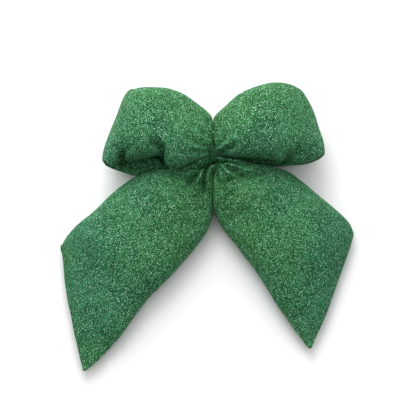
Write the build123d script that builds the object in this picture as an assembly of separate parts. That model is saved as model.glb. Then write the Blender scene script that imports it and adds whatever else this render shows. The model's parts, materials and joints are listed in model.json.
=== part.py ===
"""Padded gift bow: two stuffed loops and two stuffed tails gathered into a narrow fabric band.

Millimetres, +Z out of the bow's face, +Y towards the top of the loops. The origin lies on the
plane that the bow rests on, directly behind the middle of the band.
"""

from build123d import *
from dataclasses import dataclass, replace
import os

# Driving dimensions
SKIN = 1.2                # knitted cover with its backing
HINGE_GAP = 0.5           # clearance between pieces that turn past each other

BAND_WIDTH = 10.0         # along X
BAND_THICKNESS = 2.0      # folded fabric
BAND_HALF_Y = 15.5
BAND_HALF_Z = 15.8
BAND_Y = 0.8              # middle of the ring
BAND_Z = 26.5

LOOP_START_X = 10.0       # where a loop leaves the gathered waist
LOOP_HINGE_Z = 28.0
LOOP_HINGE_LIFT = 20.0    # degrees
LOOP_LOWEST_Y = -25.4
SLOT_CENTRE = (72.0, 20.0)
SLOT_Z = 28.0
SLOT_HALF_LENGTH = 30.0
SLOT_HALF_HEIGHT = 6.0
SLOT_TURN = 9.0           # degrees that the slot leans with the ribbon

TAIL_START_Y = -26.5
TAIL_INNER_X = 0.8        # each tail keeps to its own side of the middle
TAIL_HEIGHT = 32.0
TAIL_CORNER = 4.0
TAIL_LEVELS = ((0.0, 16.0), (4.0, 7.0), (15.0, 0.0), (27.0, 8.0), (TAIL_HEIGHT, 20.0))
                          # height, and how far the outline draws in there
TAIL_NECK_X = 45.0
TAIL_NECK_Z = (11.0, 30.0)

THREAD = 0.8
THREAD_X = (-2.6, 0.0, 2.6)
SPLIT_Z = 17.5            # tail sleeve passes behind the loop sleeve here

TIE_WIDTH = 4.0
TIE_THICKNESS = 0.8
TIE_HALF_CENTRE = 6.8
TIE_BEND_X = 21.0         # where an end reaches the resting plane
TIE_END_X = 52.0
TIE_FLOOR_Z = 0.3
TIE_WIRE = 0.4
STITCH = 0.6
STITCH_X = (-3.2, 0.0, 3.2)

FAR = 500.0               # larger than the whole bow


@dataclass
class Station:
    """A cross-section: two edge points of the flattened sleeve and its lowest and highest Z."""

    first: tuple
    second: tuple
    bottom: float
    top: float


LOOP = [
    Station((LOOP_START_X, -11), (LOOP_START_X, 24), 15, 40),
    Station((22, -13), (18, 42), 9, 50),
    Station((42, -17), (36, 55), 2, 58),
    Station((68, -23), (56, 63), -1, 60),
    Station((92, -22), (78, 58), 3, 57),
    Station((107, -15), (90, 50), 12, 46),
    Station((112, -9), (93, 46), 19, 39),
]
# Plan outlines of the tails where they are widest, from the gathers round the inner edge
LEFT_TAIL = [
    (-66, -20), (-1, -20), (-1, -68), (-28, -119), (-62, -154), (-93, -195),
    (-127, -228), (-142, -160), (-154, -94), (-118, -64), (-80, -31),
]
RIGHT_TAIL = [
    (66, -20), (1, -20), (1, -68), (28, -106), (60, -158),
    (95, -208), (122, -148), (139, -85), (108, -56), (80, -31),
]


def section(station, inset=0.0):
    """An upright ellipse through a station's edges, made smaller all round by the inset."""
    first, second = Vector(*station.first), Vector(*station.second)
    along = (second - first).normalized()
    middle = (first + second) / 2 + Vector(0, 0, (station.bottom + station.top) / 2)
    plane = Plane(origin=middle, x_dir=along, z_dir=along.cross(Vector(0, 0, 1)))
    half_width = (second - first).length / 2 - inset
    half_height = (station.top - station.bottom) / 2 - inset
    return plane * Ellipse(half_width, half_height)


def moved_back(station, before, distance):
    """The station shifted towards the one before it, so that a filling stops short of the end."""
    middle = (Vector(*station.first) + Vector(*station.second)) / 2
    inward = (Vector(*before.first) + Vector(*before.second)) / 2 - middle
    step = inward.normalized() * distance
    first, second = Vector(*station.first) + step, Vector(*station.second) + step
    return replace(station, first=(first.X, first.Y), second=(second.X, second.Y))


def half_space(low_x=-FAR, high_x=FAR, low_y=-FAR, high_y=FAR, low_z=0.0):
    """A large block that keeps what lies between the given planes."""
    size = (high_x - low_x, high_y - low_y, FAR)
    return Pos((low_x + high_x) / 2, (low_y + high_y) / 2, low_z + FAR / 2) * Box(*size)


def sleeve(stations, inset=0.0):
    """A stuffed sleeve lofted through its stations, open at its first one."""
    kept = list(stations)
    if inset:
        kept[-1] = moved_back(kept[-1], kept[-2], inset)
    return loft([section(station, inset) for station in kept])


def slot(inset=0.0):
    """The flat opening through a loop, between its front and back layers."""
    outline = Ellipse(SLOT_HALF_LENGTH + inset, SLOT_HALF_HEIGHT + inset)
    bar = extrude(Plane.XZ * outline, amount=FAR / 2, both=True)
    return Pos(*SLOT_CENTRE, SLOT_Z) * Rot(0, 0, SLOT_TURN) * bar


def loop_pieces():
    """The right loop's knitted cover and the wadding that fills it."""
    outer = sleeve(LOOP) & half_space(low_x=LOOP_START_X, low_y=LOOP_LOWEST_Y)
    outer -= slot()
    filling = sleeve(LOOP, SKIN) & half_space(
        low_x=LOOP_START_X, low_y=LOOP_LOWEST_Y + SKIN, low_z=SKIN
    )
    filling -= slot(SKIN)
    return outer - filling, filling


def drawn_in(outline, distance):
    """The corners of an outline whose edges have all moved inwards by the distance."""
    corners = [Vector(*point) for point in outline]
    turn = sum(a.X * b.Y - b.X * a.Y for a, b in zip(corners, corners[1:] + corners[:1]))
    up = Vector(0, 0, 1 if turn > 0 else -1)
    moved = []
    for index, corner in enumerate(corners):
        before, after = corners[index - 1], corners[(index + 1) % len(corners)]
        normal = up.cross((corner - before).normalized())
        next_normal = up.cross((after - corner).normalized())
        moved.append(corner + (normal + next_normal) * (distance / (1 + normal.dot(next_normal))))
    return moved


def tail_sleeve(outline, inset=0.0):
    """A stuffed tail lofted upwards through its plan outline, drawn in at the top and bottom."""
    levels = []
    for height, draw_in in TAIL_LEVELS:
        face = make_face(Polyline(*drawn_in(outline, draw_in + inset), close=True))
        face = fillet(face.vertices(), TAIL_CORNER)
        share = height / TAIL_HEIGHT
        levels.append(Pos(0, 0, inset + share * (TAIL_HEIGHT - 2 * inset)) * face)
    return loft(levels)


def tail_pieces(outline, side):
    """A tail's knitted cover and its wadding; side is -1 on the left and 1 on the right."""
    def kept(inset):
        near, far = TAIL_INNER_X + inset, FAR
        low_x, high_x = (near, far) if side > 0 else (-far, -near)
        return half_space(low_x=low_x, high_x=high_x, high_y=TAIL_START_Y)

    outer = tail_sleeve(outline) & kept(0.0)
    filling = tail_sleeve(outline, SKIN) & kept(SKIN)
    return outer - filling, filling


def ring(half_y, half_z, wall, width):
    """An upright elliptical ring about the waist, its axis along X."""
    plane = Plane(origin=(0, BAND_Y, BAND_Z), x_dir=(0, 1, 0), z_dir=(1, 0, 0))
    outline = Ellipse(half_y, half_z)
    if wall:
        outline -= Ellipse(half_y - wall, half_z - wall)
    return extrude(plane * outline, amount=width / 2, both=True)


def waist_threads():
    """Turns of thread that bind the gathered sleeves, under the band."""
    turn = ring(BAND_HALF_Y - BAND_THICKNESS, BAND_HALF_Z - BAND_THICKNESS, THREAD, THREAD)
    return [Pos(x, 0, 0) * turn for x in THREAD_X]


def stitches():
    """Stitches through the band's back, each one crossing under the twist tie."""
    low = BAND_Z - BAND_HALF_Z - TIE_THICKNESS - STITCH
    reach = TIE_WIDTH / 2 + STITCH
    pieces = []
    for x in STITCH_X:
        bar = Pos(x, 0, low + STITCH / 2) * Box(STITCH, 2 * reach, STITCH)
        height = STITCH + TIE_THICKNESS + BAND_THICKNESS
        for y in (-reach + STITCH / 2, reach - STITCH / 2):
            bar += Pos(x, y, low + height / 2) * Box(STITCH, STITCH, height)
        pieces.append(bar)
    return pieces


def loop_waist():
    """The gathered middle of the loop sleeve, narrowing towards the face so that loops can lift."""
    core = ring(BAND_HALF_Y - BAND_THICKNESS, BAND_HALF_Z - BAND_THICKNESS, 0, 2 * LOOP_START_X)
    half = LOOP_START_X - HINGE_GAP
    face_half = BAND_WIDTH / 2
    top = BAND_Z + BAND_HALF_Z
    outline = Polyline(
        (-half, SPLIT_Z), (half, SPLIT_Z), (half, LOOP_HINGE_Z), (face_half, LOOP_HINGE_Z + 12),
        (face_half, top), (-face_half, top), (-face_half, LOOP_HINGE_Z + 12),
        (-half, LOOP_HINGE_Z), close=True,
    )
    wedge = extrude(Plane.XZ * make_face(outline), amount=FAR / 2, both=True)
    return core & wedge


def tail_waist():
    """The gathered middle of the tail sleeve: through the band, then down either side of it."""
    inner = ring(BAND_HALF_Y - BAND_THICKNESS, BAND_HALF_Z - BAND_THICKNESS, 0, 18.0)
    through = inner - half_space(low_z=SPLIT_Z)
    low = BAND_Z - BAND_HALF_Z + BAND_THICKNESS
    beside = Pos(0, -11.5, (low + SPLIT_Z) / 2) * Box(18.0, 13.0, SPLIT_Z - low)
    beside -= Box(BAND_WIDTH + 2 * HINGE_GAP, 32.0, FAR)
    neck_y = TAIL_START_Y + HINGE_GAP
    outline = Polyline(
        (-TAIL_NECK_X, neck_y), (-TAIL_NECK_X, -21), (-24, -17.5), (0, -16),
        (24, -17.5), (TAIL_NECK_X, -21), (TAIL_NECK_X, neck_y), close=True,
    )
    bottom, top = TAIL_NECK_Z
    gathers = extrude(make_face(outline), amount=top - bottom)
    gathers = fillet(gathers.edges().group_by(Axis.Z)[-1], 2.0)
    gathers = Pos(0, 0, bottom) * gathers
    return through + beside + gathers


def tie_outline(half_thickness):
    """Side view of the right tie end: out of the band, down to the resting plane and along it."""
    start_z = BAND_Z - BAND_HALF_Z - TIE_THICKNESS / 2
    end_z = TIE_FLOOR_Z + TIE_THICKNESS / 2
    start_x = TIE_HALF_CENTRE + HINGE_GAP
    path = FilletPolyline(
        (start_x, 0, start_z), (start_x + 3, 0, start_z), (TIE_BEND_X, 0, end_z),
        (TIE_END_X, 0, end_z), radius=3.0,
    )
    return path, (start_x, 0, start_z), half_thickness


def tie_end(width, thickness, from_start=0.0):
    """The right-hand end of the twist tie, or of its wire."""
    path, start, _ = tie_outline(thickness / 2)
    plane = Plane(origin=start, x_dir=(0, 1, 0), z_dir=(1, 0, 0))
    return sweep(plane * Rectangle(width, thickness), path=path)


def build():
    """Every piece of the bow by its node's name."""
    loop_cover, loop_filling = loop_pieces()
    left_cover, left_filling = tail_pieces(LEFT_TAIL, -1)
    right_cover, right_filling = tail_pieces(RIGHT_TAIL, 1)
    threads = waist_threads()
    band_stitches = stitches()

    band = ring(BAND_HALF_Y, BAND_HALF_Z, BAND_THICKNESS, BAND_WIDTH)
    loop_gather, tail_gather = loop_waist(), tail_waist()
    for stitch in band_stitches:
        band -= stitch
        tail_gather -= stitch
    for turn in threads:
        loop_gather -= turn
        tail_gather -= turn

    tie_z = BAND_Z - BAND_HALF_Z - TIE_THICKNESS / 2
    centre = Pos(0, 0, tie_z)
    centre_wire = centre * Box(2 * TIE_HALF_CENTRE, TIE_WIRE, TIE_WIRE)
    centre_strip = centre * Box(2 * TIE_HALF_CENTRE, TIE_WIDTH, TIE_THICKNESS) - centre_wire
    end_wire = tie_end(TIE_WIRE, TIE_WIRE)
    end_strip = tie_end(TIE_WIDTH, TIE_THICKNESS) - end_wire

    return {
        "right_loop_cover": loop_cover,
        "right_loop_filling": loop_filling,
        "left_loop_cover": mirror(loop_cover, Plane.YZ),
        "left_loop_filling": mirror(loop_filling, Plane.YZ),
        "right_tail_cover": right_cover,
        "right_tail_filling": right_filling,
        "left_tail_cover": left_cover,
        "left_tail_filling": left_filling,
        "loop_sleeve_waist": loop_gather,
        "tail_sleeve_waist": tail_gather,
        "centre_band": band,
        "binding_thread": Compound(children=[Part() + turn for turn in threads]),
        "band_stitches": Compound(children=[Part() + stitch for stitch in band_stitches]),
        "tie_strip_centre": centre_strip,
        "tie_wire_centre": centre_wire,
        "tie_strip_right": end_strip,
        "tie_wire_right": end_wire,
        "tie_strip_left": mirror(end_strip, Plane.YZ),
        "tie_wire_left": mirror(end_wire, Plane.YZ),
    }


os.makedirs("parts", exist_ok=True)
for name, shape in build().items():
    export_step(shape, f"parts/{name}.step")
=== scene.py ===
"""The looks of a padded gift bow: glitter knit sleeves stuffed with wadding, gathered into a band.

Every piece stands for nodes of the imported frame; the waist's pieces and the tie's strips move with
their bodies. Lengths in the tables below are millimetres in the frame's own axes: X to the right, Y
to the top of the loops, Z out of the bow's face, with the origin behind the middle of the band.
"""

import json
import logging
import math
from collections.abc import Callable
from dataclasses import dataclass, field
from enum import Enum

import bmesh
import bpy
import numpy as np
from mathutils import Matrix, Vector
from mathutils.bvhtree import BVHTree

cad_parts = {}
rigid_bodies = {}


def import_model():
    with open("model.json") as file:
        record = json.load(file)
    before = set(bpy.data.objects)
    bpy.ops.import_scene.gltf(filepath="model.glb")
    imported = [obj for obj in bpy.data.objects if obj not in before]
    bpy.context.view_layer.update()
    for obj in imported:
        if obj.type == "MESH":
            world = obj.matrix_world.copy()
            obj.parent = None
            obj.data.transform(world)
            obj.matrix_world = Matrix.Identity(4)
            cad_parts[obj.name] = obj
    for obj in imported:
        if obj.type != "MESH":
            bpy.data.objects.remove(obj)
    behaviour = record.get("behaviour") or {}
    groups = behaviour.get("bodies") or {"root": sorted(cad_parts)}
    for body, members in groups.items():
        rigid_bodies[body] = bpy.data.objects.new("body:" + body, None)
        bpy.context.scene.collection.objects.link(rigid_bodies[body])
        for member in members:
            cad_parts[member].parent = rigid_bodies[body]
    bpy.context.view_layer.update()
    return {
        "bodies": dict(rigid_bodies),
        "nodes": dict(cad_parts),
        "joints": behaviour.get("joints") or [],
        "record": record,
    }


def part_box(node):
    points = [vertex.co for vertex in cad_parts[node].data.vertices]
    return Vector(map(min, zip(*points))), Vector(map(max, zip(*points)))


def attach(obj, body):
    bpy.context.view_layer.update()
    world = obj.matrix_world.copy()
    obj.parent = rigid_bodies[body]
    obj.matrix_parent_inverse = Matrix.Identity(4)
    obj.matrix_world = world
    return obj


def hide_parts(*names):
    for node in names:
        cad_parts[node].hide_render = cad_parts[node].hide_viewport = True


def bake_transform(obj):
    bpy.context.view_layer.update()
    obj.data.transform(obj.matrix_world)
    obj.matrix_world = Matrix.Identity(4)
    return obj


MM = 0.001
LOG = logging.getLogger("bow")


class Side(Enum):
    """Which half of the bow a lobe belongs to; the value is the sign of its X."""

    LEFT = -1
    RIGHT = 1


# ---------------------------------------------------------------- shader expressions


def operator_for(operation: str, swapped: bool = False) -> Callable[["Term", object], "Term"]:
    """A Python operator that adds one Math node.

    Args:
        operation: The node's operation.
        swapped: Whether the other value comes first.

    Returns:
        The operator's method.
    """
    def method(term: "Term", other: "Term | float") -> "Term":
        """The operation on a term and another value."""
        return term.maths(operation, *((other, term) if swapped else (term, other)))

    return method


class Term:
    """A shader socket that can be used in a Python expression.

    Args:
        graph: The graph that the socket's node stands in.
        socket: The output socket.
    """

    def __init__(self, graph: "Graph", socket: bpy.types.NodeSocket | None) -> None:
        """Keeps the graph and the socket."""
        self.graph = graph
        self.socket = socket

    def maths(self, operation: str, first: "Term | float", second: "Term | float") -> "Term":
        """Adds one Math node and returns its result."""
        return self.graph.node("ShaderNodeMath", {"operation": operation}, {0: first, 1: second})

    __add__ = __radd__ = operator_for("ADD")
    __mul__ = __rmul__ = operator_for("MULTIPLY")
    __sub__ = operator_for("SUBTRACT")
    __rsub__ = operator_for("SUBTRACT", swapped=True)

    def sine(self) -> "Term":
        """Sine of an angle in radians."""
        return self.maths("SINE", self, 0.0)

    def above(self, limit: float) -> "Term":
        """1 where the value is over the limit, else 0."""
        return self.maths("GREATER_THAN", self, limit)

    def ripple(self, pitch: float) -> "Term":
        """A sine wave between 0 and 1 along the value."""
        return (self * (2 * math.pi / pitch)).sine() * 0.5 + 0.5

    def part(self, index: int) -> "Term":
        """One number of a vector."""
        return self.graph.node("ShaderNodeSeparateXYZ", None, {0: self}, index)


class Graph:
    """A material's or world's node tree, with one method for every kind of node."""

    def __init__(self, name: str, world: bpy.types.World | None = None) -> None:
        """Starts an empty tree.

        Args:
            name: The material's name.
            world: The world, if the tree is one's.
        """
        self.material = world or bpy.data.materials.new(name)
        self.material.use_nodes = True
        self.tree = self.material.node_tree
        self.tree.nodes.clear()

    def node(
        self, kind: str, settings: dict | None = None, inputs: dict | None = None,
        output: str | int = 0,
    ) -> Term:
        """Adds a node.

        Args:
            kind: The node's type.
            settings: Its properties, set before its sockets; "stops" fills a colour ramp.
            inputs: Values or terms by socket name or number.
            output: The socket to return.

        Returns:
            The chosen output as a term.
        """
        made = self.tree.nodes.new(kind)
        for key, value in (settings or {}).items():
            if key == "stops":
                ramp = made.color_ramp
                while len(ramp.elements) < len(value):
                    ramp.elements.new(1.0)
                for element, (position, colour) in zip(ramp.elements, value):
                    element.position = position
                    element.color = (*colour, 1.0)
            else:
                setattr(made, key, value)
        for key, value in (inputs or {}).items():
            if isinstance(value, Term):
                self.tree.links.new(value.socket, made.inputs[key])
            else:
                made.inputs[key].default_value = value
        return Term(self, made.outputs[output] if made.outputs else None)

    def mix(self, factor: Term | float, first: object, second: object) -> Term:
        """Mixes two colours.

        Args:
            factor: Share of the second colour.
            first: Colour or term at 0.
            second: Colour or term at 1.

        Returns:
            The mixed colour.
        """
        def full(colour: object) -> object:
            """The colour with its alpha."""
            return colour if isinstance(colour, Term) else (*colour, 1.0)

        return self.node(
            "ShaderNodeMix", {"data_type": "RGBA", "clamp_factor": True},
            {0: factor, 6: full(first), 7: full(second)}, 2,
        )

    def place(self) -> Term:
        """The shaded point in the piece's own axes."""
        return self.node("ShaderNodeTexCoord", None, None, "Object")

    def noise(self, where: Term, scale: float, detail: float) -> Term:
        """Smooth noise at a place, between 0 and 1."""
        inputs = {"Vector": where, "Scale": scale, "Detail": detail}
        return self.node("ShaderNodeTexNoise", None, inputs, "Fac")

    def bump(self, height: Term, strength: float, distance: float) -> Term:
        """A normal that leans with the height."""
        inputs = {"Strength": strength, "Distance": distance, "Height": height}
        return self.node("ShaderNodeBump", None, inputs, "Normal")

    def finish(self, inputs: dict) -> bpy.types.Material:
        """Closes the tree with a Principled shader.

        Args:
            inputs: The shader's sockets.

        Returns:
            The finished material.
        """
        shader = self.node("ShaderNodeBsdfPrincipled", None, inputs)
        self.node("ShaderNodeOutputMaterial", None, {"Surface": shader})
        return self.material


# ---------------------------------------------------------------- finishes


def shaded(colour: tuple, factor: float) -> tuple:
    """A colour made darker or brighter."""
    return tuple(factor * channel for channel in colour)


@dataclass(frozen=True)
class GlitterKnit:
    """Fine rib knit of green yarn with metallic thread, whose glossy stitches also carry a painted
    glint.

    Lengths are metres on the sleeve's own UV map: X along the sleeve, Y round it.
    """

    deep: tuple = (0.004, 0.036, 0.013)
    mid: tuple = (0.015, 0.094, 0.034)
    bright: tuple = (0.095, 0.36, 0.16)
    # pale colour of the metallic stitches: partly the thread's own, partly a painted glint
    glint: tuple = (0.40, 0.76, 0.52)
    warm: tuple = (1.06, 1.05, 0.78)
    cool: tuple = (0.86, 1.0, 1.10)
    wale: float = 0.0006         # one stitch, round the sleeve
    course: float = 0.0013       # one row of stitches, along it
    rib: float = 0.0023
    patch_scale: float = 30.0
    drift_scale: float = 9.0
    spark_from: float = 0.925    # share of stitches with no metallic thread, and so no painted glint, on top

    def make(self) -> bpy.types.Material:
        """Builds the material.

        Returns:
            The knit material.
        """
        g = Graph("glitter_knit")
        uv = g.node("ShaderNodeUVMap", {"uv_map": "sleeve"})
        along, across = uv.part(0), uv.part(1)
        stitch = g.node(
            "ShaderNodeTexVoronoi", {"voronoi_dimensions": "2D"},
            {"Vector": uv, "Scale": 1 / self.wale, "Randomness": 0.85}, "Color",
        )
        chance = g.node("ShaderNodeSeparateColor", None, {0: stitch}, 0)
        second_chance = g.node("ShaderNodeSeparateColor", None, {0: stitch}, 1)
        patches = g.noise(uv, self.patch_scale, 1.0)
        drift = g.noise(uv, self.drift_scale, 1.0)
        rib = (across * (2 * math.pi / self.rib)).sine()
        yarn = across.ripple(self.wale) * 0.6 + along.ripple(self.course) * 0.4
        level = chance * 0.70 + patches * 0.22 + yarn * 0.14 + rib * 0.035
        body = g.node(
            "ShaderNodeValToRGB",
            {"stops": [(0.20, self.deep), (0.52, self.mid), (0.92, self.bright)]},
            {0: level},
        )
        cast = g.mix(drift * 3.2 - 1.1, self.warm, self.cool)
        tinted = g.node(
            "ShaderNodeMix", {"data_type": "RGBA", "blend_type": "MULTIPLY"},
            {0: 1.0, 6: body, 7: cast}, 2,
        )
        spark = second_chance.above(self.spark_from)
        # The metallic stitches take a pale colour: partly the thread's own, partly a painted glint
        colour = g.mix(spark * 0.7, tinted, self.glint)
        height = yarn * 0.6 + chance * 0.8 + rib * 0.3
        return g.finish({
            "Base Color": colour,
            "Roughness": 0.72 - spark * 0.42,
            "Metallic": spark * 0.55 + 0.06,
            "Normal": g.bump(height, 0.55, 0.0005),
            "Specular IOR Level": 0.14,
            "Sheen Weight": 0.12,
            "Sheen Roughness": 0.45,
            "Sheen Tint": (0.35, 0.9, 0.4, 1.0),
        })


@dataclass(frozen=True)
class Wadding:
    """White polyester fibre filling."""

    colour: tuple = (0.86, 0.86, 0.83)

    def make(self) -> bpy.types.Material:
        """Builds the material.

        Returns:
            The wadding material.
        """
        g = Graph("wadding")
        fluff = g.noise(g.place(), 260.0, 6.0)
        bump = g.bump(fluff, 0.8, 0.002)
        shade = g.mix(fluff, shaded(self.colour, 0.86), self.colour)
        return g.finish({"Base Color": shade, "Roughness": 1.0, "Normal": bump})


@dataclass(frozen=True)
class Thread:
    """Twisted sewing thread."""

    colour: tuple = (0.015, 0.07, 0.03)
    twist: float = 0.0009

    def make(self) -> bpy.types.Material:
        """Builds the material.

        Returns:
            The thread material.
        """
        g = Graph("thread")
        place = g.place()
        ply = (place.part(0) + place.part(1) + place.part(2)).ripple(self.twist)
        bump = g.bump(ply, 0.7, 0.0002)
        shade = g.mix(ply, self.colour, shaded(self.colour, 2.2))
        return g.finish({"Base Color": shade, "Roughness": 0.6, "Normal": bump})


@dataclass(frozen=True)
class TiePaper:
    """Green twist-tie strip, its surface faintly cross-ribbed where it is pressed on the wire."""

    colour: tuple = (0.02, 0.12, 0.05)
    rib: float = 0.0008

    def make(self) -> bpy.types.Material:
        """Builds the material.

        Returns:
            The strip's material.
        """
        g = Graph("tie_paper")
        place = g.place()
        grain = g.noise(place, 900.0, 4.0)
        bump = g.bump(place.part(0).ripple(self.rib) * 0.7 + grain * 0.5, 0.5, 0.0002)
        shade = g.mix(grain, self.colour, shaded(self.colour, 1.9))
        return g.finish({"Base Color": shade, "Roughness": 0.42 + grain * 0.2, "Normal": bump})


@dataclass(frozen=True)
class TieWire:
    """Soft annealed wire."""

    colour: tuple = (0.42, 0.41, 0.39)

    def make(self) -> bpy.types.Material:
        """Builds the material.

        Returns:
            The wire's material.
        """
        g = Graph("tie_wire")
        marks = g.noise(g.place(), 1500.0, 3.0)
        shade = g.mix(marks, shaded(self.colour, 0.7), self.colour)
        return g.finish({"Base Color": shade, "Metallic": 0.9, "Roughness": 0.3 + marks * 0.25})


@dataclass(frozen=True)
class PaleFloor:
    """Matt white floor."""

    colour: tuple = (0.93, 0.93, 0.93)

    def make(self) -> bpy.types.Material:
        """Builds the material.

        Returns:
            The floor's material.
        """
        return Graph("pale_floor").finish({"Base Color": (*self.colour, 1.0), "Roughness": 0.9})


# ---------------------------------------------------------------- meshes


def smooth_path(points: np.ndarray, count: int) -> np.ndarray:
    """Evenly spaced samples of a smooth curve through the points.

    Args:
        points: Rows of numbers; the first three columns give the spacing.
        count: How many samples.

    Returns:
        The samples, one row each.
    """
    steps = 24
    padded = np.vstack([2 * points[0] - points[1], points, 2 * points[-1] - points[-2]])
    fine = []
    for i in range(1, len(padded) - 2):
        before, start, end, after = padded[i - 1:i + 3]
        t = np.linspace(0, 1, steps, endpoint=False)[:, None]
        fine.append(
            0.5 * (2 * start + (end - before) * t
                   + (2 * before - 5 * start + 4 * end - after) * t ** 2
                   + (3 * start - 3 * end + after - before) * t ** 3)
        )
    fine = np.vstack([*fine, points[-1:]])
    gaps = np.linalg.norm(np.diff(fine[:, :3], axis=0), axis=1)
    distance = np.concatenate([[0], np.cumsum(gaps)])
    wanted = np.linspace(0, distance[-1], count)
    return np.column_stack([np.interp(wanted, distance, column) for column in fine.T])


def ease(value: np.ndarray, start: float, end: float) -> np.ndarray:
    """A smooth step from 0 at start to 1 at end."""
    share = np.clip((value - start) / (end - start), 0, 1)
    return share * share * (3 - 2 * share)


def coordinates(mesh: bpy.types.Mesh) -> np.ndarray:
    """The vertices' places.

    Args:
        mesh: The mesh.

    Returns:
        One row of X, Y and Z for each vertex.
    """
    flat = np.empty(len(mesh.vertices) * 3, np.float64)
    mesh.vertices.foreach_get("co", flat)
    return flat.reshape(-1, 3)


def normals(mesh: bpy.types.Mesh) -> np.ndarray:
    """The vertices' normals.

    Args:
        mesh: The mesh.

    Returns:
        One row of X, Y and Z for each vertex.
    """
    flat = np.empty(len(mesh.vertices) * 3, np.float32)
    mesh.vertex_normals.foreach_get("vector", flat)
    return flat.reshape(-1, 3).astype(np.float64)


def put_coordinates(mesh: bpy.types.Mesh, places: np.ndarray) -> None:
    """Moves the vertices to new places."""
    mesh.vertices.foreach_set("co", np.asarray(places, np.float32).ravel())
    mesh.update()


def make_object(name: str, mesh: bpy.types.Mesh, material: bpy.types.Material) -> bpy.types.Object:
    """Puts a mesh in the scene.

    Args:
        name: The object's name.
        mesh: Its mesh.
        material: Its only material.

    Returns:
        The object, at the origin.
    """
    mesh.materials.clear()
    mesh.materials.append(material)
    mesh.shade_smooth()
    made = bpy.data.objects.new(name, mesh)
    bpy.context.scene.collection.objects.link(made)
    return made


def sleeve_mesh(name: str, rings: np.ndarray, seam_end: bool) -> bpy.types.Mesh:
    """A sleeve of quads round rings of points, with a UV map in metres.

    Args:
        name: The mesh's name.
        rings: Points as [ring, point round it, xyz].
        seam_end: Whether the last ring is sewn flat, its front half on its back half.

    Returns:
        The mesh, open at its first ring and, without a seam, at its last.
    """
    count, around, _ = rings.shape
    index = np.arange(count * around).reshape(count, around)
    if seam_end:
        half = around // 2
        index[-1, half + 1:] = index[-1, 1:half][::-1]
    front = around // 4
    step_round = np.linalg.norm(np.roll(rings, -1, axis=1) - rings, axis=2)
    round_place = np.concatenate(
        [np.zeros((count, 1)), np.cumsum(step_round, axis=1)], axis=1
    )
    round_place -= round_place[:, front][:, None]
    step_along = np.linalg.norm(np.diff(rings[:, front], axis=0), axis=1)
    along = np.concatenate([[0], np.cumsum(step_along)])
    faces, uvs = [], []
    for i in range(count - 1):
        for j in range(around):
            k = (j + 1) % around
            faces.append((index[i, j], index[i + 1, j], index[i + 1, k], index[i, k]))
            uvs.append((
                (along[i], round_place[i, j]), (along[i + 1], round_place[i + 1, j]),
                (along[i + 1], round_place[i + 1, j + 1]), (along[i], round_place[i, j + 1]),
            ))
    used = np.unique(np.array(faces))
    renumber = np.zeros(count * around, int)
    renumber[used] = np.arange(len(used))
    clean, clean_uvs = [], []
    for face, uv in zip(faces, uvs):
        kept = [n for n in range(4) if face[n] != face[(n + 1) % 4]]
        if len(set(face[n] for n in kept)) < 3:
            continue
        clean.append([int(renumber[face[n]]) for n in kept])
        clean_uvs.extend(uv[n] for n in kept)
    mesh = bpy.data.meshes.new(name)
    mesh.from_pydata(rings.reshape(-1, 3)[used].tolist(), [], clean)
    layer = mesh.uv_layers.new(name="sleeve")
    layer.data.foreach_set("uv", np.array(clean_uvs, np.float32).ravel())
    mesh.validate()
    mesh.update()
    return mesh


def mend(mesh: bpy.types.Mesh, close: bool) -> bpy.types.Mesh:
    """Merges doubles and turns the faces outwards.

    Args:
        mesh: The mesh to mend.
        close: Whether its open ends are closed too.

    Returns:
        The same mesh.
    """
    shell = bmesh.new()
    shell.from_mesh(mesh)
    bmesh.ops.remove_doubles(shell, verts=shell.verts, dist=1e-6)
    if close:
        bmesh.ops.holes_fill(shell, edges=[edge for edge in shell.edges if edge.is_boundary])
    bmesh.ops.recalc_face_normals(shell, faces=shell.faces)
    shell.to_mesh(mesh)
    shell.free()
    return mesh


def applied(piece: bpy.types.Object) -> None:
    """Makes a piece's modifiers part of its mesh.

    Args:
        piece: The piece, which has no modifier left.
    """
    graph = bpy.context.evaluated_depsgraph_get()
    mesh = bpy.data.meshes.new_from_object(piece.evaluated_get(graph), depsgraph=graph)
    old = piece.data
    name = old.name
    piece.modifiers.clear()
    piece.data = mesh
    bpy.data.meshes.remove(old)
    mesh.name = name


@dataclass(frozen=True)
class Station:
    """One cross-section of a stuffed sleeve.

    Args:
        low: X and Y of the edge nearer the tails (a loop) or on the outside (a tail).
        high: X and Y of the other edge.
        level: Height of the two edges.
        out: How far the outer face stands off the line between the edges.
        back: How far the other face does.
        crown: Power of the section's curve: near 1 is round, near 0 is boxy.
    """

    low: tuple
    high: tuple
    level: float
    out: float
    back: float
    crown: float = 0.85

    @classmethod
    def on(cls, side: Side, low: tuple, high: tuple, *rest: float) -> "Station":
        """A station given for the right-hand side, put on the given one."""
        sign = side.value
        return cls((low[0] * sign, low[1]), (high[0] * sign, high[1]), *rest)

    def row(self) -> list:
        """The station as one row of numbers, its middle first."""
        middle = [(a + b) / 2 for a, b in zip(self.low, self.high)]
        return [*middle, self.level, *self.low, *self.high, self.out, self.back, self.crown]


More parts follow.
